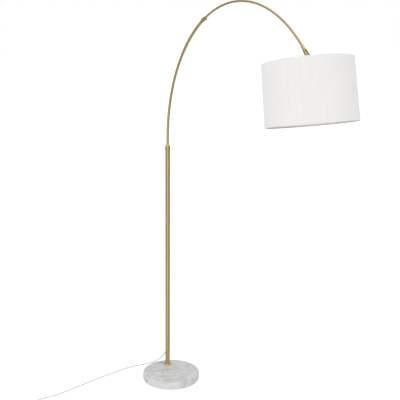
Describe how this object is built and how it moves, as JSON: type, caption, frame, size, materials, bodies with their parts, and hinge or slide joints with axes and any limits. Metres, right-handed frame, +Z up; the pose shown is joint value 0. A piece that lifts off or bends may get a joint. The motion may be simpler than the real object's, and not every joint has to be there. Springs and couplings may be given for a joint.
{
  "type": "arc floor lamp",
  "caption": "Floor lamp with a round stone base, a slim brass post, a curved telescopic arm and a tilting drum shade.",
  "frame": {"origin": "centre of the base's underside, on the floor", "axes": "+Z up, +X along the arc's plane towards the shade, +Y to the left when looking along +X"},
  "size_m": [1.5173, 1.0585, 1.9593],
  "materials": {
    "brass": "satin",
    "steel": "satin",
    "marble": "polished",
    "felt": "matte",
    "nylon": "satin",
    "lead": "satin",
    "shade_cloth": "matte",
    "shade_lining": "satin",
    "phenolic": "satin",
    "opal_glass": "gloss"
  },
  "bodies": {
    "stand": {"felt_pad": "felt", "marble_base": "marble", "base_washer": "steel", "base_bolt": "steel", "post_rosette": "brass", "post_foot_insert": "steel", "post_lower_tube": "brass", "post_lower_insert": "steel", "post_joint_stud": "steel", "post_upper_insert": "steel", "post_upper_tube": "brass", "post_cap": "brass", "cap_set_screw": "steel", "arm_seat_bush": "nylon", "cord_strain_relief": "lead", "lead_in_post": "lead", "cord_run": "lead", "cord_link": "lead", "cord_tail": "lead", "cord_coil": "lead", "foot_switch_base": "phenolic", "foot_switch_cover": "phenolic", "plug_body": "phenolic", "plug_pin_left": "steel", "plug_pin_right": "steel"},
    "arm": {"arm_tube": "brass", "lead_in_arm": "lead", "clamp_collar": "brass", "clamp_bush": "nylon"},
    "collar_screw": {"clamp_screw": "brass"},
    "rod": {"arc_rod": "brass", "rod_glide": "nylon", "lead_in_rod": "lead", "rod_fork": "brass", "fork_set_screw": "steel", "knuckle_bolt": "brass", "knuckle_nut": "brass"},
    "head": {"knuckle_tongue": "brass", "socket_cup": "brass", "stem_nut": "steel", "lampholder": "phenolic", "lampholder_shell": "steel", "lampholder_contact": "brass", "lead_in_head": "lead", "shade_ring_nut": "phenolic", "bulb_cap": "steel", "bulb_glass": "opal_glass", "shade_cover": "shade_cloth", "shade_lining": "shade_lining", "shade_lower_ring": "steel", "shade_spider": "steel"},
    "switch_button": {"foot_switch_button": "phenolic"}
  },
  "joints": [
    {"name": "arm_swivel", "type": "hinge", "parent": "stand", "child": "arm", "pos_m": [-0.08693, 0.02329, 1.258], "axis": [0, 0, 1], "range_deg": [-90, 60]},
    {"name": "clamp_screw_turn", "type": "hinge", "parent": "arm", "child": "collar_screw", "pos_m": [0.28062, 0.02329, 1.88479], "axis": [0, 1, 0], "range_deg": [0, 180]},
    {"name": "rod_slide", "type": "hinge", "parent": "arm", "child": "rod", "pos_m": [0.57807, 0.02329, 1.29], "axis": [0, 1, 0], "range_deg": [-30, 8]},
    {"name": "head_tilt", "type": "hinge", "parent": "rod", "child": "head", "pos_m": [1.0645, 0.02329, 1.7447], "axis": [0, 1, 0], "range_deg": [-33, 40]},
    {"name": "switch_press", "type": "slide", "parent": "stand", "child": "switch_button", "axis": [0, 0, 1], "range_m": [-0.003, 0], "stiffness_N_per_m": 600, "springref_m": 0.001}
  ]
}
